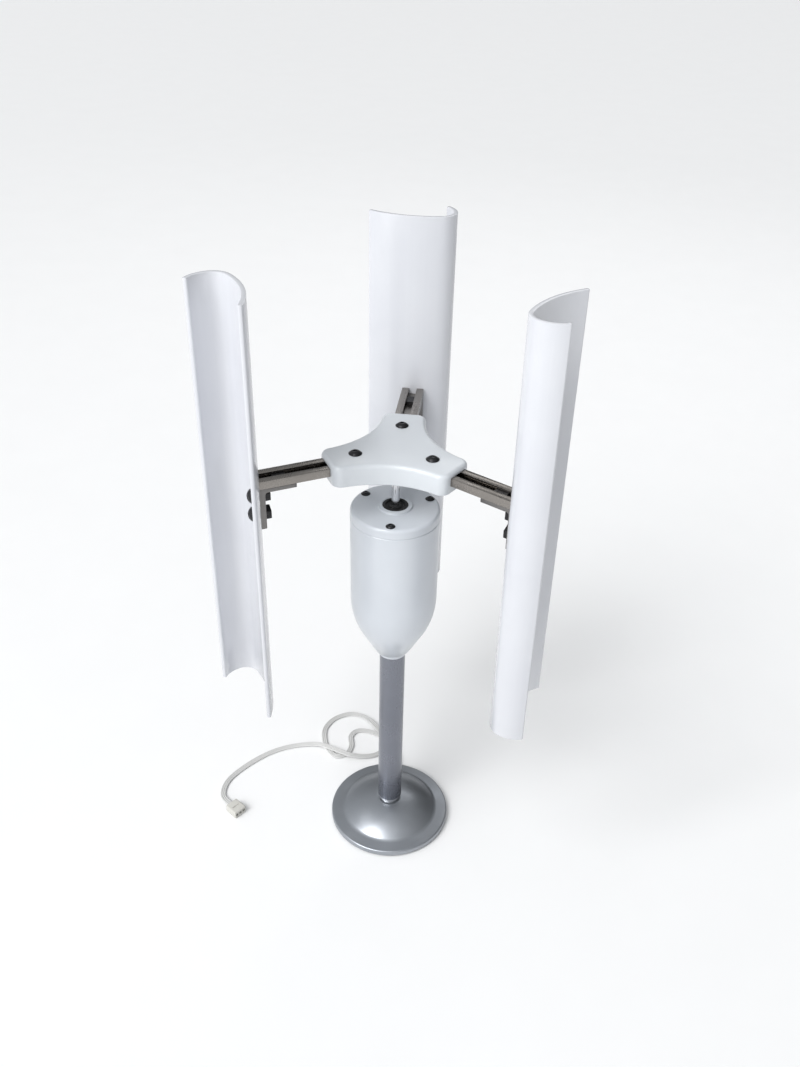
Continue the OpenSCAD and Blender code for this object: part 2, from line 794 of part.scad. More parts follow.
foot_pad();
base_dome();
mast_stud();
base_washer();
base_nut();
cable_grommet();
mast_tube();
mast_cable();
lead_wires();
generator_housing();
generator_cover();
cover_screws();
shaft_seal();
stator_core();
stator_coils();
bearing_outer(lower_z);  // lower_bearing_outer
bearing_inner(lower_z);  // lower_bearing_inner
bearing_balls(lower_z);  // lower_bearing_balls
bearing_cage(lower_z);  // lower_bearing_cage
bearing_outer(upper_z);  // upper_bearing_outer
bearing_inner(upper_z);  // upper_bearing_inner
bearing_balls(upper_z);  // upper_bearing_balls
bearing_cage(upper_z);  // upper_bearing_cage
shaft();
shaft_circlip();
spacer(lower_z + bearing_w, core_z);  // lower_spacer
spacer(core_top, upper_z);  // upper_spacer
magnet_hub();
magnets();
hub_plate();
hub_insert();
hub_set_screw();
hub_screws();
hub_nuts();
arm();  // arm_1
rotate(120) arm();  // arm_2
rotate(240) arm();  // arm_3
slot_nuts();
bracket_screws();
bracket();  // bracket_1
rotate(120) bracket();  // bracket_2
rotate(240) bracket();  // bracket_3
blade_screws();
blade_nuts();
blade();  // blade_1
rotate(120) blade();  // blade_2
rotate(240) blade();  // blade_3
cord();
cord_connector();
connector_contacts();
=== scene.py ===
# %% [markdown]
# # A desk-size vertical axis wind turbine
# The engineering model already holds every part at its true size and place. This notebook
# loads it as a fixed frame, then gives each visible piece its finished shape and surface:
# moulded white plastic, painted metal, slotted aluminium, black screws and a thin flat cable.

# %% Load the frame
import json
import math
import bpy
import bmesh
from mathutils import Matrix, Vector

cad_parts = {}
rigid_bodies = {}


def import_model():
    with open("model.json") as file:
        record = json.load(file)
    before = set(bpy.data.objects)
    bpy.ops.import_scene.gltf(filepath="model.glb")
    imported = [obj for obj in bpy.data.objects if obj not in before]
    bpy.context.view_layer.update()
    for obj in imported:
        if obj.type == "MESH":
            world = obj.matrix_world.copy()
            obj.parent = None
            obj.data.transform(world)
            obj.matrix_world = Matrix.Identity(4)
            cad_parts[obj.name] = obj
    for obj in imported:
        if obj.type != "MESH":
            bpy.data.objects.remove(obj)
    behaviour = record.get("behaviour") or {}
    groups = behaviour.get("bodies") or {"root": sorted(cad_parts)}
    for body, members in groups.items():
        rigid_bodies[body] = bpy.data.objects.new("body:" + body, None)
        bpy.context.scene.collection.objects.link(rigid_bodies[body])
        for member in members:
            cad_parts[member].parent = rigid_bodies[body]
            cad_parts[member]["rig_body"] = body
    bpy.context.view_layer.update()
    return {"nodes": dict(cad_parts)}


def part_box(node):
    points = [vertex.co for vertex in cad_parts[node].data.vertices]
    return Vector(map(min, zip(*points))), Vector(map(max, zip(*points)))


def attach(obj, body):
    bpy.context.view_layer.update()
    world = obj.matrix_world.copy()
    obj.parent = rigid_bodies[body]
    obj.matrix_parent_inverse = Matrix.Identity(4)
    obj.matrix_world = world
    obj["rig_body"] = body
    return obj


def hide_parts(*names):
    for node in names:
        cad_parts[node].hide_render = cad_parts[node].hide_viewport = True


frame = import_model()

NODES = frame["nodes"]
MM = 0.001

# %% [markdown]
# ## Camera
# The turbine is seen close by and from above the tips of its blades, so upright lines draw
# together towards the floor. A camera is a place, a viewing direction and a lens. Working
# the axes out from angles keeps each one easy to read and to change.

# %% Camera
CAM_AZIMUTH = math.radians(6.66)      # to the right of the front
CAM_DISTANCE = 0.5178                 # level distance from the turbine's axis
CAM_HEIGHT = 0.5932
CAM_PITCH = math.radians(33.52)       # looking down
CAM_TURN = math.radians(0.35)         # aimed slightly to the right of the axis
CAM_ROLL = math.radians(1.36)
CAM_LENS = 45.3                       # on a sensor 36 mm wide


def make_camera():
    place = Vector((math.sin(CAM_AZIMUTH), -math.cos(CAM_AZIMUTH), 0)) * CAM_DISTANCE
    place.z = CAM_HEIGHT
    heading = CAM_AZIMUTH - CAM_TURN
    look = Vector((-math.sin(heading) * math.cos(CAM_PITCH),
                   math.cos(heading) * math.cos(CAM_PITCH), -math.sin(CAM_PITCH)))
    right = look.cross(Vector((0, 0, 1))).normalized()
    up = right.cross(look)
    tilted_right = right * math.cos(CAM_ROLL) + up * math.sin(CAM_ROLL)
    tilted_up = up * math.cos(CAM_ROLL) - right * math.sin(CAM_ROLL)
    data = bpy.data.cameras.new("camera")
    data.sensor_fit = "HORIZONTAL"
    data.sensor_width = 36
    data.lens = CAM_LENS
    data.clip_start = 0.01
    camera = bpy.data.objects.new("camera", data)
    bpy.context.scene.collection.objects.link(camera)
    axes = Matrix((tilted_right, tilted_up, -look)).transposed().to_4x4()
    camera.matrix_world = Matrix.Translation(place) @ axes
    bpy.context.scene.camera = camera
    return camera


camera = make_camera()
print("camera at", [round(v, 3) for v in camera.location])

# %% [markdown]
# ## Helpers for finished pieces
# Each new piece starts as a bmesh, the editable mesh of Blender. Two helpers are enough:
# one turns a finished bmesh into an object, shaded smoothly but with its real edges crisp,
# and one hides the parts it stands in for and lets the piece ride on their body.

# %% Piece helpers
SMOOTH_BELOW = math.radians(32)
# blades, arms and screws stand at three angles
TURNS = [Matrix.Rotation(math.radians(120 * i), 4, "Z") for i in range(3)]


def finish_mesh(bm, name, material):
    """Turn a bmesh into a smooth-shaded object at the origin, with outward faces."""
    bmesh.ops.remove_doubles(bm, verts=bm.verts, dist=1e-6)
    bmesh.ops.recalc_face_normals(bm, faces=bm.faces)
    mesh = bpy.data.meshes.new(name)
    for face in bm.faces:
        face.smooth = True
    for edge in bm.edges:
        if len(edge.link_faces) == 2:
            edge.smooth = edge.calc_face_angle(0) < SMOOTH_BELOW
    bm.to_mesh(mesh)
    bm.free()
    obj = bpy.data.objects.new(name, mesh)
    bpy.context.scene.collection.objects.link(obj)
    mesh.materials.append(material)
    return obj


def stand_for(obj, *nodes):
    """Let a piece ride with the nodes it replaces, and hide those nodes."""
    node = nodes[0]
    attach(obj, NODES[node]["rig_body"])
    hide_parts(*nodes)
    return obj

# %% [markdown]
# ## The flat cable
# The cable is three thin insulated wires moulded side by side, a few millimetres wide. It
# is limp, so it lies flat on the table, crosses itself in long low humps and ends in a small
# connector. A curve object would give a round cord, so the three-lobed section is carried
# along the route ring by ring, always kept level.

# %% Cable route
CABLE_W = 4.2 * MM
CABLE_T = 1.5 * MM
LIE = CABLE_T / 2
EXIT_Y = 43.8
ROUTE_MM = [
    (0, EXIT_Y, 3.0), (0, 50, 2.4), (-1, 58, 0.85), (-5, 68, 0.75), (-16, 75, 0.75),
    (-28, 79, 0.75), (-37, 78, 0.75), (-41, 71, 0.75), (-39, 61, 0.75), (-41, 52, 0.75),
    (-49, 48, 0.75), (-57, 55, 0.75), (-62, 66, 0.75), (-63, 78, 0.75), (-57, 90, 0.75),
    (-45, 97, 0.75), (-32, 94, 0.75), (-22, 84, 2.35), (-14, 71, 2.55), (-14, 58, 1.05),
    (-24, 51, 1.35), (-38, 49, 2.95), (-51, 53, 2.95), (-66, 58, 1.55), (-85, 54, 0.75),
    (-102, 44, 0.75), (-117, 28, 0.75), (-127, 11, 0.75), (-127, -4, 0.75), (-118, -14, 3.0)]
ROUTE = [Vector(p) * MM for p in ROUTE_MM]
PLUG_TURN = math.radians(-36)


def along(points, steps):
    """Smooth path through the points, a few steps between each pair."""
    out = []
    for i in range(len(points) - 1):
        p0 = points[max(0, i - 1)]
        p1, p2 = points[i], points[i + 1]
        p3 = points[min(len(points) - 1, i + 2)]
        for k in range(steps):
            t = k / steps
            point = 0.5 * (2 * p1 + (p2 - p0) * t + (2 * p0 - 5 * p1 + 4 * p2 - p3) * t ** 2
                           + (3 * p1 - p0 - 3 * p2 + p3) * t ** 3)
            point.z = max(point.z, LIE)
            out.append(point)
    return out + [points[-1]]


CABLE_PATH = along(ROUTE, 8)

# %% [markdown]
# ## Shared surface effects
# Real surfaces are never one flat value. Three effects come back in almost every material,
# so each is a node group with named sockets: slow tone drift with smudges and dust, fine
# grain for bumps, and drawn lines left by an extruder, a lathe or a brush. Groups put out
# plain values; the shaders stay in the materials.

# %% Node group helpers


def new_group(name, inputs, outputs):
    group = bpy.data.node_groups.new(name, "ShaderNodeTree")
    for label, kind, value in inputs:
        socket = group.interface.new_socket(label, in_out="INPUT", socket_type=kind)
        if value is not None:
            socket.default_value = value
    for label in outputs:
        group.interface.new_socket(label, in_out="OUTPUT", socket_type="NodeSocketFloat")
    start = group.nodes.new("NodeGroupInput")
    end = group.nodes.new("NodeGroupOutput")
    return group, start, end


def noise(tree, vector, scale, detail=4.0, rough=0.55):
    node = tree.nodes.new("ShaderNodeTexNoise")
    node.inputs["Scale"].default_value = scale
    node.inputs["Detail"].default_value = detail
    node.inputs["Roughness"].default_value = rough
    tree.links.new(vector, node.inputs["Vector"])
    return node


def map_range(tree, value, low, high, to_low, to_high):
    node = tree.nodes.new("ShaderNodeMapRange")
    for label, number in (("From Min", low), ("From Max", high),
                          ("To Min", to_low), ("To Max", to_high)):
        node.inputs[label].default_value = number
    tree.links.new(value, node.inputs["Value"])
    return node.outputs["Result"]


def math_node(tree, operation, a, b):
    node = tree.nodes.new("ShaderNodeMath")
    node.operation = operation
    for socket, value in zip(node.inputs, (a, b)):
        if isinstance(value, (int, float)):
            socket.default_value = value
        else:
            tree.links.new(value, socket)
    return node.outputs[0]


def make_handling_group():
    """Tone drifts slowly, Smudge is where fingers dulled the gloss, Dust is fine specks."""
    group, start, end = new_group(
        "handling", [("Vector", "NodeSocketVector", None)], ["Tone", "Smudge", "Dust"])
    vector = start.outputs["Vector"]
    slow = noise(group, vector, 14, 3)
    prints = noise(group, vector, 46, 6, 0.62)
    specks = noise(group, vector, 1500, 2, 0.5)
    group.links.new(slow.outputs["Fac"], end.inputs["Tone"])
    smudge = map_range(group, prints.outputs["Fac"], 0.46, 0.68, 0, 1)
    group.links.new(smudge, end.inputs["Smudge"])
    dust = map_range(group, specks.outputs["Fac"], 0.66, 0.76, 0, 1)
    group.links.new(dust, end.inputs["Dust"])
    return group


def make_grain_group():
    """Fine even grain: mould texture, paint skin or cast skin, by its size."""
    group, start, end = new_group(
        "grain", [("Vector", "NodeSocketVector", None), ("Size", "NodeSocketFloat", 0.0005)],
        ["Height"])
    scale = math_node(group, "DIVIDE", 1.0, start.outputs["Size"])
    texture = group.nodes.new("ShaderNodeTexNoise")
    texture.inputs["Detail"].default_value = 3
    group.links.new(start.outputs["Vector"], texture.inputs["Vector"])
    group.links.new(scale, texture.inputs["Scale"])
    group.links.new(texture.outputs["Fac"], end.inputs["Height"])
    return group


def make_lines_group():
    """Drawn lines that run along the Z of the incoming vector."""
    group, start, end = new_group(
        "drawn_lines", [("Vector", "NodeSocketVector", None), ("Across", "NodeSocketFloat", 900.0)],
        ["Lines"])
    squash = group.nodes.new("ShaderNodeVectorMath")
    squash.operation = "MULTIPLY"
    squash.inputs[1].default_value = (1, 1, 0.012)
    group.links.new(start.outputs["Vector"], squash.inputs[0])
    texture = group.nodes.new("ShaderNodeTexNoise")
    texture.inputs["Detail"].default_value = 5
    texture.inputs["Roughness"].default_value = 0.7
    group.links.new(squash.outputs[0], texture.inputs["Vector"])
    group.links.new(start.outputs["Across"], texture.inputs["Scale"])
    group.links.new(texture.outputs["Fac"], end.inputs["Lines"])
    return group


HANDLING = make_handling_group()
GRAIN = make_grain_group()
LINES = make_lines_group()
print("shared groups:", HANDLING.name, GRAIN.name, LINES.name)

# %% [markdown]
# ## A surface recipe
# Every material here is one Principled shader fed by the shared groups: two tones of the
# base colour, a roughness that rises where the piece was touched, and a bump from grain or
# drawn lines. The recipe takes the few numbers that tell one finish from another.

# %% Surface recipe


def place_group(mat, group, vector, **values):
    node = mat.node_tree.nodes.new("ShaderNodeGroup")
    node.node_tree = group
    mat.node_tree.links.new(vector, node.inputs["Vector"])
    for label, value in values.items():
        node.inputs[label].default_value = value
    return node


def surface(name, light, dark, rough, metallic=0.0, grain=0.0006, bump=0.15, lines=0.0,
            across=900.0, turn=(0, 0, 0), coat=0.0, spread=0.12, dust=0.25, specular=0.5):
    """light and dark are the two tones of the colour; turn aims the drawn lines."""
    mat = bpy.data.materials.new(name)
    mat.use_nodes = True
    tree = mat.node_tree
    bsdf = tree.nodes["Principled BSDF"]
    bsdf.inputs["Metallic"].default_value = metallic
    bsdf.inputs["Coat Weight"].default_value = coat
    bsdf.inputs["Coat Roughness"].default_value = 0.12
    bsdf.inputs["Specular IOR Level"].default_value = specular
    coords = tree.nodes.new("ShaderNodeTexCoord").outputs["Object"]
    mapping = tree.nodes.new("ShaderNodeMapping")
    mapping.inputs["Rotation"].default_value = turn
    tree.links.new(coords, mapping.inputs["Vector"])
    handling = place_group(mat, HANDLING, coords)
    fine = place_group(mat, GRAIN, coords, Size=grain)
    drawn = place_group(mat, LINES, mapping.outputs["Vector"], Across=across)
    # colour: two tones, and a grey one where dust settles
    tone = tree.nodes.new("ShaderNodeMix")
    tone.data_type = "RGBA"
    tone.inputs["A"].default_value = (*dark, 1)
    tone.inputs["B"].default_value = (*light, 1)
    drift = map_range(tree, handling.outputs["Tone"], 0.3, 0.7, 0, 1 - lines)
    share = math_node(tree, "ADD", drift,
                      math_node(tree, "MULTIPLY", drawn.outputs["Lines"], lines))
    tree.links.new(share, tone.inputs["Factor"])
    dusty = tree.nodes.new("ShaderNodeMix")
    dusty.data_type = "RGBA"
    dusty.inputs["B"].default_value = (0.62, 0.61, 0.59, 1)
    settled = math_node(tree, "MULTIPLY", handling.outputs["Dust"], dust)
    tree.links.new(settled, dusty.inputs["Factor"])
    tree.links.new(tone.outputs["Result"], dusty.inputs["A"])
    tree.links.new(dusty.outputs["Result"], bsdf.inputs["Base Color"])
    # roughness: base value, smudges and drawn lines
    low = map_range(tree, handling.outputs["Smudge"], 0, 1, rough, rough + spread)
    centred = math_node(tree, "SUBTRACT", drawn.outputs["Lines"], 0.5)
    streak = math_node(tree, "MULTIPLY", centred, lines * 0.5)
    total = tree.nodes.new("ShaderNodeMath")
    total.operation = "ADD"
    total.use_clamp = True
    tree.links.new(low, total.inputs[0])
    tree.links.new(streak, total.inputs[1])
    tree.links.new(total.outputs[0], bsdf.inputs["Roughness"])
    # bump: grain mixed with lines
    height = math_node(tree, "ADD", math_node(tree, "MULTIPLY", fine.outputs["Height"], 1 - lines),
                       math_node(tree, "MULTIPLY", drawn.outputs["Lines"], lines))
    relief = tree.nodes.new("ShaderNodeBump")
    relief.inputs["Strength"].default_value = bump
    relief.inputs["Distance"].default_value = 0.0002
    tree.links.new(height, relief.inputs["Height"])
    tree.links.new(relief.outputs["Normal"], bsdf.inputs["Normal"])
    return mat


QUARTER = math.pi / 2
BLADE_WHITE = surface("blade_white", (0.68, 0.69, 0.72), (0.62, 0.63, 0.67), 0.20, bump=0.035,
                      lines=0.35, across=420, coat=0.3, spread=0.05, dust=0.1)
HUB_WHITE = surface("hub_white", (0.68, 0.71, 0.74), (0.63, 0.66, 0.69), 0.28, grain=0.0004,
                    bump=0.06, coat=0.3)
HOUSING_WHITE = surface("housing_white", (0.64, 0.67, 0.71), (0.59, 0.62, 0.66), 0.28,
                        grain=0.0005, bump=0.06, coat=0.3)
BASE_PAINT = surface("base_paint", (0.38, 0.40, 0.43), (0.31, 0.33, 0.36), 0.34, metallic=0.9,
                     grain=0.0003, bump=0.12, coat=0.15)
MAST_PAINT = surface("mast_paint", (0.225, 0.235, 0.27), (0.19, 0.20, 0.232), 0.27, metallic=0.85,
                     grain=0.0003, bump=0.035, lines=0.15, across=500, coat=0.2,
                     spread=0.08, dust=0.06)
BLACK_OXIDE = surface("black_oxide", (0.022, 0.022, 0.024), (0.012, 0.012, 0.014), 0.3,
                      metallic=0.4, grain=0.0002, bump=0.2, dust=0.1)
BRIGHT_STEEL = surface("bright_steel", (0.80, 0.80, 0.81), (0.70, 0.70, 0.72), 0.16, metallic=1.0,
                       bump=0.08, lines=0.6, across=1600, turn=(QUARTER, 0, 0))
STEEL = surface("turned_steel", (0.58, 0.58, 0.58), (0.46, 0.46, 0.47), 0.28, metallic=1.0,
                bump=0.15, lines=0.5, across=1200, turn=(QUARTER, 0, 0))
ZINC = surface("zinc_plate", (0.56, 0.56, 0.54), (0.44, 0.44, 0.43), 0.3, metallic=1.0,
               grain=0.0004, bump=0.2)
RUBBER = surface("black_rubber", (0.030, 0.030, 0.031), (0.018, 0.018, 0.019), 0.62,
                 grain=0.0003, bump=0.3, dust=0.4, specular=0.3)
BRASS = surface("turned_brass", (0.78, 0.60, 0.28), (0.66, 0.49, 0.21), 0.25, metallic=1.0,
                bump=0.15, lines=0.5, across=1200, turn=(QUARTER, 0, 0))
CORE_STEEL = surface("laminated_steel", (0.30, 0.30, 0.31), (0.20, 0.20, 0.21), 0.45, metallic=0.8,
                     bump=0.4, lines=0.7, across=1400, turn=(QUARTER, 0, 0))
COPPER = surface("enamelled_copper", (0.62, 0.28, 0.12), (0.48, 0.19, 0.07), 0.25, metallic=0.7,
                 bump=0.5, lines=0.6, across=1300, coat=0.5)
MAGNET_PLATE = surface("magnet_plate", (0.55, 0.55, 0.56), (0.45, 0.45, 0.46), 0.2, metallic=1.0,
                       bump=0.1)
CAGE_NYLON = surface("cage_nylon", (0.66, 0.58, 0.34), (0.58, 0.50, 0.28), 0.5, bump=0.15)
CABLE_PVC = surface("cable_pvc", (0.66, 0.66, 0.65), (0.55, 0.55, 0.54), 0.42, grain=0.0008,
                    bump=0.25, dust=0.5)
PLUG_NYLON = surface("plug_nylon", (0.66, 0.65, 0.61), (0.57, 0.56, 0.52), 0.45, grain=0.0005,
                     bump=0.2, dust=0.4)
ALUMINIUM = [surface("drawn_aluminium_%d" % (i + 1), (0.37, 0.345, 0.32), (0.21, 0.195, 0.18), 0.26,
                     metallic=1.0, bump=0.3, lines=0.65, across=1100,
                     turn=(QUARTER, 0, -math.radians(120 * i))) for i in range(3)]
BRACKET_METAL = surface("bracket_aluminium", (0.25, 0.24, 0.235), (0.17, 0.165, 0.16), 0.34,
                        metallic=0.95, bump=0.25, lines=0.4, across=900)
print("materials:", len(bpy.data.materials))

# %% [markdown]
# ## Finishes for the parts that stay as they are
# Nuts, bearings, windings and other parts whose engineering shape is already right keep
# their mesh and only take a better surface.

# %% Assign finishes
KEPT = {
    "foot_pad": RUBBER, "mast_stud": BRIGHT_STEEL, "base_washer": STEEL, "base_nut": ZINC,
    "cable_grommet": RUBBER, "mast_cable": CABLE_PVC, "lead_wires": COPPER,
    "shaft_seal": RUBBER, "stator_core": CORE_STEEL, "stator_coils": COPPER,
    "lower_bearing_outer": STEEL, "lower_bearing_inner": STEEL,
    "upper_bearing_outer": STEEL, "upper_bearing_inner": STEEL,
    "lower_bearing_balls": BRIGHT_STEEL, "upper_bearing_balls": BRIGHT_STEEL,
    "lower_bearing_cage": CAGE_NYLON, "upper_bearing_cage": CAGE_NYLON,
    "shaft": BRIGHT_STEEL, "shaft_circlip": STEEL, "lower_spacer": STEEL, "upper_spacer": STEEL,
    "magnet_hub": CORE_STEEL, "magnets": MAGNET_PLATE, "hub_insert": BRASS,
    "hub_set_screw": BLACK_OXIDE, "hub_nuts": ZINC, "slot_nuts": BLACK_OXIDE,
    "connector_contacts": ZINC}


def paint_node(node, material):
    mesh = NODES[node].data
    mesh.materials.clear()
    mesh.materials.append(material)


for node, material in KEPT.items():
    paint_node(node, material)
print("kept as they are:", len(KEPT))

# %% [markdown]
# ## Cable mesh
# The section is three touching wires. It is carried along the route ring by ring, level
# all the way, because a flat cable lies on its broad side.

# %% Cable
WIRE_R = CABLE_T / 2
WIRE_GAP = (CABLE_W - CABLE_T) / 2
ARC_STEPS = 8


def ribbon_section():
    """Outline of three wires side by side, as (across, up) pairs."""
    notch = math.acos(WIRE_GAP / 2 / WIRE_R)
    spans = [(WIRE_GAP, -math.pi + notch, math.pi - notch), (0, notch, math.pi - notch),
             (-WIRE_GAP, notch, 2 * math.pi - notch), (0, math.pi + notch, 2 * math.pi - notch)]
    out = []
    for middle, start, end in spans:
        for k in range(ARC_STEPS):
            a = start + (end - start) * k / ARC_STEPS
            out.append((middle + WIRE_R * math.cos(a), WIRE_R * math.sin(a)))
    return out


def make_cable(path):
    section = ribbon_section()
    bm = bmesh.new()
    rings = []
    last = len(path) - 1
    for i, point in enumerate(path):
        ahead = path[min(last, i + 1)] - path[max(0, i - 1)]
        if i == 0:
            ahead = Vector((0, 1, 0))
        if i == last:
            ahead = Vector((math.cos(PLUG_TURN), math.sin(PLUG_TURN), 0))
        across = Vector((ahead.y, -ahead.x, 0)).normalized()
        rings.append([bm.verts.new(point + across * a + Vector((0, 0, b))) for a, b in section])
    for one, two in zip(rings, rings[1:]):
        for k in range(len(section)):
            n = (k + 1) % len(section)
            bm.faces.new((one[k], one[n], two[n], two[k]))
    bm.faces.new(rings[0])
    bm.faces.new(rings[-1][::-1])
    return finish_mesh(bm, "flat_cable", CABLE_PVC)


cable = stand_for(make_cable(CABLE_PATH), "cord")
print("cable faces:", len(cable.data.polygons))

# %% [markdown]
# ## Blades
# Each blade is an extruded plastic channel: a long side, a tight nose and a short hooked
# side. A short edge across the wall is spun about three centres, one after another, so the
# three arcs meet smoothly; the strip is then pushed up to the blade's length. Rounded ends
# and a fine bevel catch the light as cut plastic does.

# %% Blade sizes
BLADE_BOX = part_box("blade_1")
BLADE_Z = BLADE_BOX[0][2]
BLADE_LEN = BLADE_BOX[1][2] - BLADE_Z
FACE_R = 85.5 * MM
BLADE_T = 2.5 * MM
LONG_R, NOSE_R, HOOK_R = 62 * MM, 11 * MM, 18 * MM
TAIL, FRONT, HOOK = (math.radians(a) for a in (30, 13.5, 50))
NOSE = QUARTER - FRONT
print("blade length m:", round(BLADE_LEN, 4))

# %% Blades


def bevel(bm, edges, width, segments):
    bmesh.ops.bevel(bm, geom=edges, offset=width, offset_type="OFFSET", affect="EDGES",
                    segments=segments, profile=0.5, material=-1)


def spin_part(bm, geom, centre, angle, steps):
    return bmesh.ops.spin(bm, geom=geom, cent=centre, axis=(0, 0, 1), dvec=(0, 0, 0),
                          angle=angle, steps=steps)["geom_last"]


def push_up(bm, height):
    """Close a flat sheet of faces into a solid of that height."""
    flat = list(bm.faces)
    result = bmesh.ops.extrude_face_region(bm, geom=flat, use_keep_orig=True)
    top = [v for v in result["geom"] if isinstance(v, bmesh.types.BMVert)]
    bmesh.ops.translate(bm, verts=top, vec=(0, 0, height))


def make_blade(index):
    bm = bmesh.new()
    start = 1.5 * math.pi - TAIL
    long_centre = Vector((0, LONG_R, 0))
    ends = [bm.verts.new(long_centre + r * Vector((math.cos(start), math.sin(start), 0)))
            for r in (LONG_R, LONG_R - BLADE_T)]
    edge = bm.edges.new(ends)
    lead = 1.5 * math.pi + FRONT
    nose_centre = long_centre + (LONG_R - NOSE_R) * Vector((math.cos(lead), math.sin(lead), 0))
    hook_centre = nose_centre - Vector((HOOK_R - NOSE_R, 0, 0))
    geom = spin_part(bm, ends + [edge], long_centre, TAIL + FRONT, 30)
    geom = spin_part(bm, geom, nose_centre, NOSE, 22)
    spin_part(bm, geom, hook_centre, HOOK, 16)
    bmesh.ops.remove_doubles(bm, verts=bm.verts, dist=1e-6)
    push_up(bm, BLADE_LEN)
    bmesh.ops.recalc_face_normals(bm, faces=bm.faces)
    upright = [e for e in bm.edges if abs(e.verts[0].co.z - e.verts[1].co.z) > BLADE_LEN / 2
               and e.calc_face_angle(0) > 1]
    bevel(bm, upright, 1.0 * MM, 4)
    rim = [e for e in bm.edges if len(e.link_faces) == 2 and e.calc_face_angle(0) > 1]
    bevel(bm, rim, 0.25 * MM, 2)
    bmesh.ops.translate(bm, verts=bm.verts, vec=(0, FACE_R, BLADE_Z))
    bmesh.ops.rotate(bm, verts=bm.verts, cent=(0, 0, 0), matrix=TURNS[index].to_3x3())
    return finish_mesh(bm, "blade_skin_%d" % (index + 1), BLADE_WHITE)


for i in range(3):
    blade = stand_for(make_blade(i), "blade_%d" % (i + 1))
print("blade faces:", len(blade.data.polygons))

# %% [markdown]
# ## Turned parts
# Base, mast, housing and cover are round, so each is an outline spun about the axis. The
# outline holds only corner points and arcs; the spin does the rest.

# %% Lathe helper


def arc(centre, radius, start, end, steps=8):
    """Points of an arc as pairs, such as (radius, height), angles in degrees."""
    return [(centre[0] + radius * math.cos(math.radians(start + (end - start) * k / steps)),
             centre[1] + radius * math.sin(math.radians(start + (end - start) * k / steps)))
            for k in range(steps + 1)]


def lathe(outline, steps=160):
    """Spin an outline, given in mm as (radius, height), into a closed bmesh."""
    bm = bmesh.new()
    verts = [bm.verts.new((r * MM, 0, z * MM)) for r, z in outline]
    edges = [bm.edges.new(pair) for pair in zip(verts, verts[1:])]
    if outline[0][0] > 0:
        edges.append(bm.edges.new((verts[-1], verts[0])))
    bmesh.ops.spin(bm, geom=verts + edges, cent=(0, 0, 0), axis=(0, 0, 1), dvec=(0, 0, 0),
                   angle=2 * math.pi, steps=steps, use_merge=True)
    bmesh.ops.remove_doubles(bm, verts=bm.verts, dist=1e-6)
    return bm


def top_of(node):
    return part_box(node)[1][2] / MM


def bottom_of(node):
    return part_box(node)[0][2] / MM


def radius_of(node):
    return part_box(node)[1][0] / MM

# %% [markdown]
# ## Base
# A painted casting: flat outer ring with a soft rim, then a dome. The dome is a cap of a
# large sphere whose radius follows from its width and height.

# %% Base
BASE_R = radius_of("base_dome")
RIM_Z = bottom_of("base_dome")
SEAT_Z = top_of("base_dome")
FLANGE_H, FLANGE_W, EDGE_R = 5, 9, 1.2


def base_outline():
    inner = BASE_R - FLANGE_W
    foot = FLANGE_H + 1
    height = SEAT_Z + 0.8 - foot
    ball = (inner ** 2 + height ** 2) / (2 * height)
    middle = foot + height - ball
    low = math.degrees(math.asin((foot - middle) / ball))
    high = math.degrees(math.asin((SEAT_Z - middle) / ball))
    # the dome starts in a small hollow fillet and ends in a soft shoulder under the mast
    dome = arc((0, middle), ball, low + 1.6, high - 0.4, 24)
    start = dome[0]
    return ([(0, RIM_Z), (BASE_R - 0.5, RIM_Z), (BASE_R, RIM_Z + 0.5)]
            + arc((BASE_R - EDGE_R, FLANGE_H - EDGE_R), EDGE_R, 0, 84, 6)
            + [(inner + 1.6, foot - 0.2), (inner + 0.7, foot), (start[0] + 0.3, start[1] - 0.25)]
            + dome + [(dome[-1][0] - 0.5, SEAT_Z), (0, SEAT_Z)])


base = stand_for(finish_mesh(lathe(base_outline()), "base_casting", BASE_PAINT), "base_dome")
print("base radius mm:", round(BASE_R, 2), "faces:", len(base.data.polygons))

# %% [markdown]
# ## Mast, housing and cover
# The mast is a plain painted tube with a narrow bare band at its foot. The housing flows
# from a narrow neck through a cone into a cylinder, joined by a large arc. The cover is a
# separate cap, so a fine groove is left where the two meet.

# %% Mast, housing, cover
MAST_R = radius_of("mast_tube")
MAST_Z = bottom_of("mast_tube")
FOOT_RING_H = 2.0
MAST_WALL = 2
NECK_Z = bottom_of("generator_housing")
WALL_TOP = top_of("generator_housing")
GEN_R = radius_of("generator_housing")
GEN_TOP = 270.0
CONE_ANGLE, SHOULDER_R = 27.5, 57
NECK_R, NECK_H = MAST_R + 0.9, 3.5


def mast_outline():
    inner = MAST_R - MAST_WALL
    top = top_of("mast_tube")
    return [(inner, MAST_Z), (MAST_R - 0.5, MAST_Z), (MAST_R, MAST_Z + 0.5),
            (MAST_R, MAST_Z + FOOT_RING_H), (MAST_R, top), (inner, top)]


def bare_foot(obj):
    """The narrow band at the mast's foot is bare metal, free of paint."""
    obj.data.materials.append(BRIGHT_STEEL)
    band_top, band_r = (MAST_Z + FOOT_RING_H) * MM, (MAST_R - 1) * MM
    for face in obj.data.polygons:
        if face.center.z < band_top and face.center.xy.length > band_r:
            face.material_index = 1
    return obj


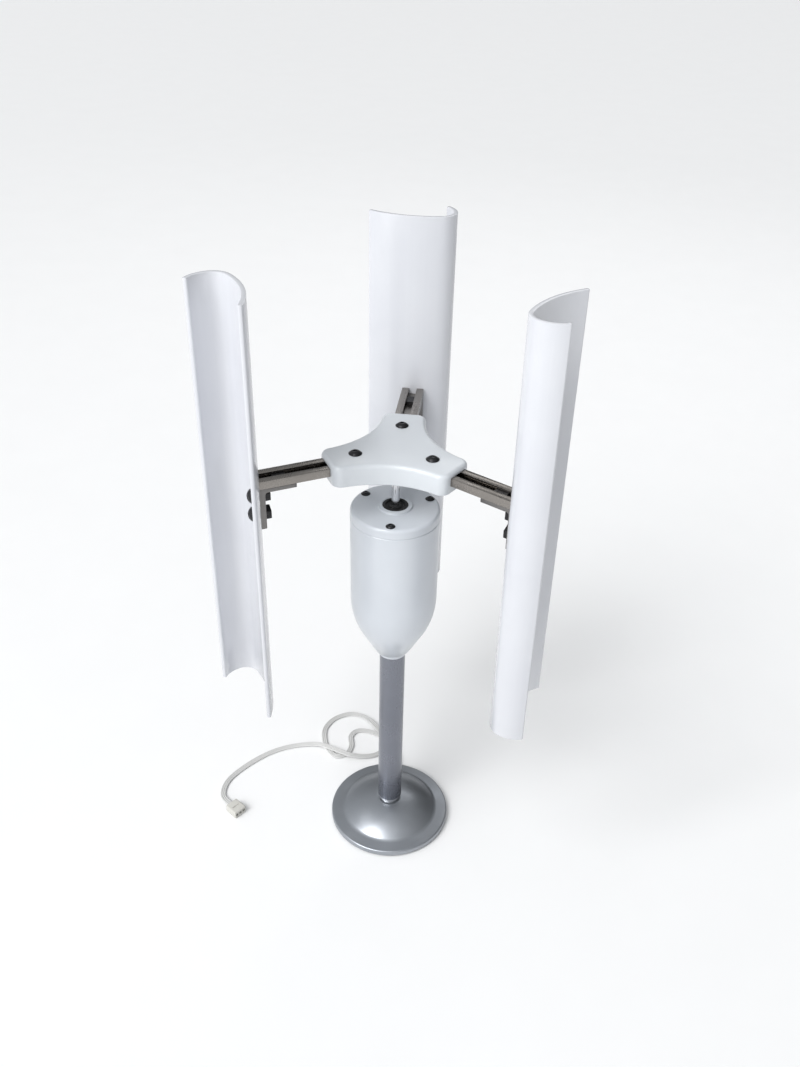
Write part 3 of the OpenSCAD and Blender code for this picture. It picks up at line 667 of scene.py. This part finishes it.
def housing_outline():
    cone_z, cone_r = NECK_Z + NECK_H, NECK_R + 2.4
    corner = cone_z + (GEN_R - cone_r) / math.tan(math.radians(CONE_ANGLE))
    blend = corner + SHOULDER_R * math.tan(math.radians(CONE_ANGLE / 2))
    shoulder = arc((GEN_R - SHOULDER_R, blend), SHOULDER_R, -CONE_ANGLE, 0, 24)
    bore = MAST_R + 0.05
    return ([(bore, NECK_Z), (NECK_R - 0.4, NECK_Z), (NECK_R, NECK_Z + 0.4),
             (NECK_R, cone_z - 0.3), (NECK_R + 0.3, cone_z), (cone_r - 0.8, cone_z),
             (cone_r, cone_z + 0.6)]
            + shoulder + [(GEN_R, WALL_TOP - 0.5), (GEN_R - 0.35, WALL_TOP - 0.05),
                          (GEN_R - 3, WALL_TOP - 0.05), (GEN_R - 3, corner), (bore, NECK_Z + 12)])


def cover_outline():
    ring_r, ring_top, seal_r = 10.5, GEN_TOP + 1.5, 7.93
    edge = 2.2
    return ([(5, WALL_TOP), (GEN_R - 0.35, WALL_TOP), (GEN_R, WALL_TOP + 0.4)]
            + arc((GEN_R - edge, GEN_TOP - edge), edge, 0, 90, 10)
            + [(ring_r + 0.9, GEN_TOP), (ring_r + 0.3, GEN_TOP + 0.2), (ring_r, GEN_TOP + 0.6)]
            + arc((ring_r - 0.5, ring_top - 0.5), 0.5, 0, 90, 4)
            + [(seal_r + 0.3, ring_top), (seal_r, ring_top - 0.3), (seal_r, GEN_TOP - 2.1),
               (5, GEN_TOP - 2.1)])


mast = finish_mesh(lathe(mast_outline(), 96), "mast_skin", MAST_PAINT)
housing = finish_mesh(lathe(housing_outline()), "housing_skin", HOUSING_WHITE)
cover = finish_mesh(lathe(cover_outline()), "cover_skin", HOUSING_WHITE)
stand_for(bare_foot(mast), "mast_tube")
stand_for(housing, "generator_housing")
stand_for(cover, "generator_cover")
print("generator radius mm:", round(GEN_R, 2), "from", round(NECK_Z, 1), "to", GEN_TOP)

# %% [markdown]
# ## Hub
# The hub is moulded: three wide lobes with hollow sides between them and a generous soft
# edge all round the top. Half of a lobe's outline, made of a flat end, a corner and half a
# hollow, is mirrored and repeated at three angles, pushed up and bevelled. Pockets are cut
# with booleans at the end, because a moulding with pockets is what the part really is.

# %% Hub
HUB_Z, HUB_TOP = bottom_of("hub_plate"), top_of("hub_plate")
LOBE_LEN, LOBE_W, CORNER_R, WAIST_R = 43.5, 27, 6, 24
ARM_W, ARM_H = 14, 5
ARM_TOP = HUB_TOP - 3
ARM_Z = ARM_TOP - ARM_H
SCREW_PR = 25.8
NUT_POCKET_R, NUT_POCKET_H = 4.2, 3.6
INSERT_BORE_R, INSERT_H = 6.02, 9.5
GRUB_R, GRUB_RISE = 1.7, 4
GRUB_AT = math.radians(60)            # turned from +Y


def cut(obj, cutters):
    """Subtract closed cutter objects and leave a plain mesh."""
    for cutter in cutters:
        boolean = obj.modifiers.new("cut", "BOOLEAN")
        boolean.operation = "DIFFERENCE"
        boolean.solver = "EXACT"
        boolean.object = cutter
    graph = bpy.context.evaluated_depsgraph_get()
    mesh = bpy.data.meshes.new_from_object(obj.evaluated_get(graph))
    obj.modifiers.clear()
    obj.data = mesh
    for cutter in cutters:
        bpy.data.objects.remove(cutter)
    return obj


def cutter(bm, name):
    obj = finish_mesh(bm, name, HUB_WHITE)
    bpy.context.view_layer.update()
    return obj


def hub_side():
    """Outline points in mm from the middle of a lobe's end to the middle of a hollow side."""
    corner = Vector((LOBE_W / 2, LOBE_LEN - CORNER_R))
    across = Vector((math.cos(math.radians(30)), math.sin(math.radians(30))))
    along_side = Vector((-across.y, across.x))
    half = corner.dot(along_side)
    sag = corner.dot(across) - WAIST_R
    side_r = (half ** 2 + sag ** 2) / (2 * sag)
    centre = across * (WAIST_R + side_r)
    first = corner - centre
    last = across * WAIST_R - centre
    start = math.degrees(math.atan2(first.y, first.x)) % 360
    end = math.degrees(math.atan2(last.y, last.x)) % 360
    end_arc = arc((LOBE_W / 2 - CORNER_R, LOBE_LEN - CORNER_R), CORNER_R, 90, 0, 10)
    hollow = arc(centre, side_r, start + 2.5, end, 18)
    return [(0, LOBE_LEN)] + end_arc + hollow


def make_hub():
    half = hub_side()
    third = [(-x, y) for x, y in half[:0:-1]] + half
    bm = bmesh.new()
    points = []
    for a in (0, -120, -240):
        c, s = math.cos(math.radians(a)), math.sin(math.radians(a))
        points += [(x * c - y * s, x * s + y * c) for x, y in third[:-1]]
    bm.faces.new([bm.verts.new((x * MM, y * MM, HUB_Z * MM)) for x, y in points])
    push_up(bm, (HUB_TOP - HUB_Z) * MM)
    bmesh.ops.recalc_face_normals(bm, faces=bm.faces)
    for level, width, segments in ((HUB_TOP, 2.8, 8), (HUB_Z, 0.8, 3)):
        rim = [e for e in bm.edges if all(abs(v.co.z - level * MM) < 1e-6 for v in e.verts)]
        bevel(bm, rim, width * MM, segments)
    return finish_mesh(bm, "hub_skin", HUB_WHITE)


def rod(radius, length, sides, place):
    """Closed straight rod, sizes in mm, centred on the origin of place and along its Z."""
    bm = bmesh.new()
    bmesh.ops.create_cone(bm, segments=sides, radius1=radius * MM, radius2=radius * MM,
                          depth=length * MM, cap_ends=True, matrix=place)
    return bm


def hub_cutters():
    out = []
    for turn in TURNS:
        slot = bmesh.new()
        place = Matrix.Translation((0, 40 * MM, (ARM_Z + ARM_H / 2) * MM))
        size = Matrix.Diagonal(((ARM_W + 0.2) * MM, 50.2 * MM, (ARM_H + 0.04) * MM, 1))
        bmesh.ops.create_cube(slot, size=1, matrix=turn @ place @ size)
        out.append(cutter(slot, "slot_cutter"))
        place = Matrix.Translation((0, SCREW_PR * MM, (HUB_Z + 1.6) * MM))
        flats = Matrix.Rotation(QUARTER / 3, 4, "Z")
        pocket = rod(NUT_POCKET_R, NUT_POCKET_H, 6, turn @ place @ flats)
        out.append(cutter(pocket, "pocket_cutter"))
    bore = rod(INSERT_BORE_R, 2 * INSERT_H, 64, Matrix.Translation((0, 0, HUB_Z * MM)))
    out.append(cutter(bore, "bore_cutter"))
    # the way in for the grub screw that grips the shaft
    turn = Matrix.Rotation(GRUB_AT, 4, "Z")
    lying = Matrix.Rotation(QUARTER, 4, "X")
    place = Matrix.Translation((0, LOBE_LEN / 2 * MM, (HUB_Z + GRUB_RISE) * MM)) @ lying
    out.append(cutter(rod(GRUB_R, LOBE_LEN, 32, turn @ place), "grub_cutter"))
    return out


def smooth_again(obj):
    bm = bmesh.new()
    bm.from_mesh(obj.data)
    bmesh.ops.remove_doubles(bm, verts=bm.verts, dist=2e-6)
    for face in bm.faces:
        face.smooth = True
    for edge in bm.edges:
        edge.smooth = len(edge.link_faces) == 2 and edge.calc_face_angle(0) < SMOOTH_BELOW
    bm.to_mesh(obj.data)
    bm.free()
    return obj


hub = stand_for(smooth_again(cut(make_hub(), hub_cutters())), "hub_plate")
print("hub faces:", len(hub.data.polygons))

# %% [markdown]
# ## Arms and brackets
# The arms are lengths of slotted aluminium, cut square. Their end is a simple outline, so it
# is drawn once, pushed along and given a hair-fine bevel that shows as a bright edge. The
# brackets are short pieces of angle made the same way.

# %% Arms and brackets


def prism(outline, depth, bevel_mm, place):
    """Outline in mm in the XY plane, pushed up by depth, bevelled, then put in place."""
    bm = bmesh.new()
    bm.faces.new([bm.verts.new((x * MM, y * MM, 0)) for x, y in outline])
    push_up(bm, depth * MM)
    bmesh.ops.recalc_face_normals(bm, faces=bm.faces)
    sharp = [e for e in bm.edges if e.calc_face_angle(0) > 0.5]
    bevel(bm, sharp, bevel_mm * MM, 2)
    bmesh.ops.transform(bm, verts=bm.verts, matrix=place)
    return bm


def merged(parts):
    bm = bmesh.new()
    for part in parts:
        mesh = bpy.data.meshes.new("part")
        part.to_mesh(mesh)
        part.free()
        bm.from_mesh(mesh)
        bpy.data.meshes.remove(mesh)
    return bm


ARM_IN, ARM_OUT = 15, 85.4
SLOT_W, WEB, LIP, SIDE = 5, 1.2, 1.4, 1.5
LEG_T, LEG_T_UPRIGHT = 2.5, 3.5       # wall of the bracket's two legs
# a frame whose Z runs outwards along an arm, X across it and Y up
ALONG_ARM = Matrix(((-1, 0, 0, 0), (0, 0, 1, 0), (0, 1, 0, 0), (0, 0, 0, 1)))
# a frame whose Z runs across an arm, X outwards and Y up
ACROSS_ARM = Matrix(((0, 0, 1, 0), (1, 0, 0, 0), (0, 1, 0, 0), (0, 0, 0, 1)))


def arm_outline():
    w, s, c = ARM_W / 2, SLOT_W / 2, ARM_W / 2 - SIDE
    top, lip = ARM_H, ARM_H - LIP
    return [(-w, 0), (w, 0), (w, top), (s, top), (s, lip), (c, lip), (c, WEB),
            (-c, WEB), (-c, lip), (-s, lip), (-s, top), (-w, top)]


def bracket_outline():
    """Side view: outwards and up, measured from the blade's face and the arm's underside."""
    length, leg, drop, thick, inner = 22, LEG_T_UPRIGHT, 26, LEG_T, 1.5
    back = -0.05
    return [(-length, 0), (-length, -thick), (-leg - inner, -thick),
            (-leg - 0.4, -thick - 0.4), (-leg, -thick - inner), (-leg, -drop), (back, -drop),
            (back, 0)]


for i, turn in enumerate(TURNS):
    at_arm = turn @ Matrix.Translation((0, ARM_IN * MM, ARM_Z * MM)) @ ALONG_ARM
    bm = prism(arm_outline(), ARM_OUT - ARM_IN, 0.18, at_arm)
    stand_for(finish_mesh(bm, "arm_skin_%d" % (i + 1), ALUMINIUM[i]), "arm_%d" % (i + 1))
    at_bracket = turn @ Matrix.Translation((-ARM_W / 2 * MM, FACE_R, ARM_Z * MM)) @ ACROSS_ARM
    bm = prism(bracket_outline(), ARM_W, 0.3, at_bracket)
    stand_for(finish_mesh(bm, "bracket_skin_%d" % (i + 1), BRACKET_METAL), "bracket_%d" % (i + 1))
print("arms and brackets: 6 pieces")

# %% [markdown]
# ## Screws and nuts
# All screws are button heads: a low dome with a hexagon at its middle. The dome is a turned
# outline, bridged to a ring of six corners. A copy of the hexagon is pushed down as the
# socket's floor; the hexagon itself stays, so the socket is closed over and reads as flat.
# One maker with a few sizes serves the hub, the cover, the brackets and the blades.

# %% Screws
SOCKET_SIDES = 6
# shank radius, head radius and head height in mm
M3, M4, M5 = (1.45, 2.9, 1.7), (2, 4, 2.2), (2.45, 4.5, 2.8)


def screw(size, shank_len, place):
    """Button head screw, its head standing up from the origin of place."""
    shank_r, head_r, head_h = size
    rim = 0.12 * head_h
    ball = ((head_r - 0.2) ** 2 + (head_h - rim) ** 2) / (2 * (head_h - rim))
    middle = head_h - ball
    socket_r = 0.36 * head_r
    high = math.degrees(math.acos((socket_r + 0.25) / ball))
    low = math.degrees(math.asin((rim + 0.15 - middle) / ball))
    dome = arc((0, middle), ball, low, high, 8)
    lip_z = dome[-1][1] - 0.04
    outline = ([(0, -shank_len), (shank_r - 0.2, -shank_len), (shank_r, -shank_len + 0.25),
                (shank_r, 0), (head_r - 0.1, 0), (head_r, rim)] + dome)
    bm = lathe(outline, 48)
    # the open ring at the top is bridged to a hexagon
    rim_edges = [e for e in bm.edges if len(e.link_faces) == 1]
    hexagon = [bm.verts.new((socket_r * math.cos(math.radians(60 * k)) * MM,
                             socket_r * math.sin(math.radians(60 * k)) * MM, lip_z * MM))
               for k in range(SOCKET_SIDES)]
    hex_edges = [bm.edges.new((hexagon[k], hexagon[(k + 1) % SOCKET_SIDES]))
                 for k in range(SOCKET_SIDES)]
    bmesh.ops.bridge_loops(bm, edges=rim_edges + hex_edges)
    floor = bm.faces.new(hexagon)
    down = bmesh.ops.extrude_face_region(bm, geom=[floor])
    moved = [v for v in down["geom"] if isinstance(v, bmesh.types.BMVert)]
    bmesh.ops.translate(bm, verts=moved, vec=(0, 0, -0.55 * head_h * MM))
    bmesh.ops.transform(bm, verts=bm.verts, matrix=place)
    return bm


def nut(across_flats, height, place):
    """Hexagon nut with both ends chamfered; its Z is its axis, its flats face X."""
    corner = across_flats / math.sqrt(3)
    bm = rod(corner, height, 6, Matrix.Translation((0, 0, height / 2 * MM)))
    caps = [f for f in bm.faces if abs(f.normal.z) > 0.9]
    bmesh.ops.inset_region(bm, faces=caps, thickness=0.9 * MM)
    corners = [v for v in bm.verts if v.co.xy.length > 0.95 * corner * MM]
    for v in corners:
        v.co.z += (0.28 if v.co.z < height / 2 * MM else -0.28) * MM
    bmesh.ops.transform(bm, verts=bm.verts, matrix=place)
    return bm


FLIP = Matrix.Rotation(math.pi, 4, "X")
HALF_TURN = Matrix.Rotation(math.pi, 4, "Z")
OUTWARDS = Matrix.Rotation(-QUARTER, 4, "X")
SLOT_NUT_R = 72.0
COVER_SCREW_R = 23
M5_NUT_WIDTH, M5_NUT_H = 8, 4
SCREW_SEAT_R = FACE_R / MM + 2.7      # inside the blade's hollow
NUT_R = FACE_R / MM - LEG_T_UPRIGHT - M5_NUT_H
FIRST_SCREW_DROP, SCREW_PITCH = 7.2, 12
BLADE_SCREW_Z = [ARM_Z - FIRST_SCREW_DROP - SCREW_PITCH * i for i in range(2)]


def up(y, z):
    return Matrix.Translation((0, y * MM, z * MM))


def screw_set(name, node, parts, material=BLACK_OXIDE):
    obj = stand_for(finish_mesh(merged(parts), name, material), node)
    print(name, "faces:", len(obj.data.polygons))


screw_set("hub_screw_set", "hub_screws",
          [screw(M4, 12.6, t @ up(SCREW_PR, HUB_TOP)) for t in TURNS])
screw_set("cover_screw_set", "cover_screws",
          [screw(M3, 19, t @ HALF_TURN @ up(COVER_SCREW_R, GEN_TOP)) for t in TURNS])
screw_set("bracket_screw_set", "bracket_screws",
          [screw(M4, 6, t @ up(SLOT_NUT_R, ARM_Z - LEG_T) @ FLIP) for t in TURNS])
screw_set("blade_screw_set", "blade_screws",
          [screw(M5, 10.5, t @ up(SCREW_SEAT_R, z) @ OUTWARDS)
           for t in TURNS for z in BLADE_SCREW_Z])
screw_set("blade_nut_set", "blade_nuts",
          [nut(M5_NUT_WIDTH, M5_NUT_H, t @ up(NUT_R, z) @ OUTWARDS)
           for t in TURNS for z in BLADE_SCREW_Z])

# %% [markdown]
# ## Connector
# The connector is a small moulded block with rounded edges and three square mouths, one for
# each wire, in which the contacts sit. It is a bevelled cube with the mouths cut out, and a
# shallow latch groove across its top.

# %% Connector
PLUG_SIZE = Vector((11, 10, 6))
MOUTH_W = 2.24
WIRES_AT = (-3, 0, 3)
PLUG_AT = Matrix.Translation(ROUTE[-1]) @ Matrix.Rotation(PLUG_TURN, 4, "Z")


def plug_box(size, centre, round_mm=0.0):
    """A box in the connector's own frame, mm, centred at a point measured from its rear."""
    bm = bmesh.new()
    place = Matrix.Translation(Vector(centre) * MM) @ Matrix.Diagonal((*(Vector(size) * MM), 1))
    bmesh.ops.create_cube(bm, size=1, matrix=place)
    if round_mm:
        bevel(bm, list(bm.edges), round_mm * MM, 4)
    bmesh.ops.transform(bm, verts=bm.verts, matrix=PLUG_AT)
    return bm


def make_plug():
    body = finish_mesh(plug_box(PLUG_SIZE, (PLUG_SIZE.x / 2, 0, 0), 0.7), "plug_skin", PLUG_NYLON)
    cavities = [plug_box((10, MOUTH_W, MOUTH_W), (8, y, 0)) for y in WIRES_AT]
    latch = [plug_box((1.2, 6, 1.0), (6, 0, 3))]
    return smooth_again(cut(body, [cutter(bm, "mouth") for bm in cavities + latch]))


plug = stand_for(make_plug(), "cord_connector")
print("connector faces:", len(plug.data.polygons))

# %% [markdown]
# ## Table and light
# A pale table under a plain surround that is brighter towards the front left. A broad soft
# sun comes from the same side, a tall lamp gives the glossy blades something long to
# reflect, and a wide strip behind lifts the far edges.

# %% Table and light
TABLE_HALF = 40.0
TABLE_Z = -0.3 * MM                   # a hair below the base's underside


def make_table():
    bm = bmesh.new()
    bmesh.ops.create_grid(bm, x_segments=1, y_segments=1, size=TABLE_HALF,
                          matrix=Matrix.Translation((0, 0, TABLE_Z)))
    table = finish_mesh(bm, "table", surface("table_top", (0.93, 0.93, 0.93), (0.92, 0.92, 0.92),
                                             0.6, grain=0.002, bump=0.02, dust=0.0))


def lamp(name, place, aim, width, height, power):
    data = bpy.data.lights.new(name, "AREA")
    data.shape = "RECTANGLE"
    data.size, data.size_y = width, height
    data.energy = power
    obj = bpy.data.objects.new(name, data)
    bpy.context.scene.collection.objects.link(obj)
    obj.location = place
    obj.rotation_euler = (Vector(aim) - Vector(place)).to_track_quat("-Z", "Y").to_euler()


def make_sun(direction, strength, angle):
    data = bpy.data.lights.new("sun", "SUN")
    data.energy = strength
    data.angle = math.radians(angle)
    obj = bpy.data.objects.new("sun", data)
    bpy.context.scene.collection.objects.link(obj)
    obj.rotation_euler = Vector(direction).to_track_quat("-Z", "Y").to_euler()


def make_surround(bright_side, darkest, brightest):
    """A plain surround, brighter towards one side, so round white things show their shape."""
    world = bpy.data.worlds.new("surround")
    world.use_nodes = True
    tree = world.node_tree
    direction = tree.nodes.new("ShaderNodeTexCoord").outputs["Generated"]
    side = tree.nodes.new("ShaderNodeVectorMath")
    side.operation = "DOT_PRODUCT"
    side.inputs[1].default_value = Vector(bright_side).normalized()
    tree.links.new(direction, side.inputs[0])
    background = tree.nodes["Background"]
    background.inputs["Color"].default_value = (0.96, 0.98, 1.0, 1)
    # what the camera sees directly stays an even pale tone
    seen = tree.nodes.new("ShaderNodeLightPath").outputs["Is Camera Ray"]
    strength = tree.nodes.new("ShaderNodeMix")
    strength.inputs["B"].default_value = 0.93
    tree.links.new(seen, strength.inputs["Factor"])
    tree.links.new(map_range(tree, side.outputs["Value"], -0.8, 0.9, darkest, brightest),
                   strength.inputs["A"])
    tree.links.new(strength.outputs["Result"], background.inputs["Strength"])
    bpy.context.scene.world = world


make_table()
make_sun((0.50, 0.66, -0.95), 1.8, 35)
lamp("key", (-0.9, -0.9, 1.0), (0, 0, 0.25), 0.5, 1.2, 3.0)
lamp("rear", (0.2, 1.3, 1.2), (0, 0, 0.3), 1.0, 0.4, 2.0)
make_surround((-0.6, -0.7, 0.35), 0.03, 0.9)
bpy.context.scene.view_settings.view_transform = "Standard"
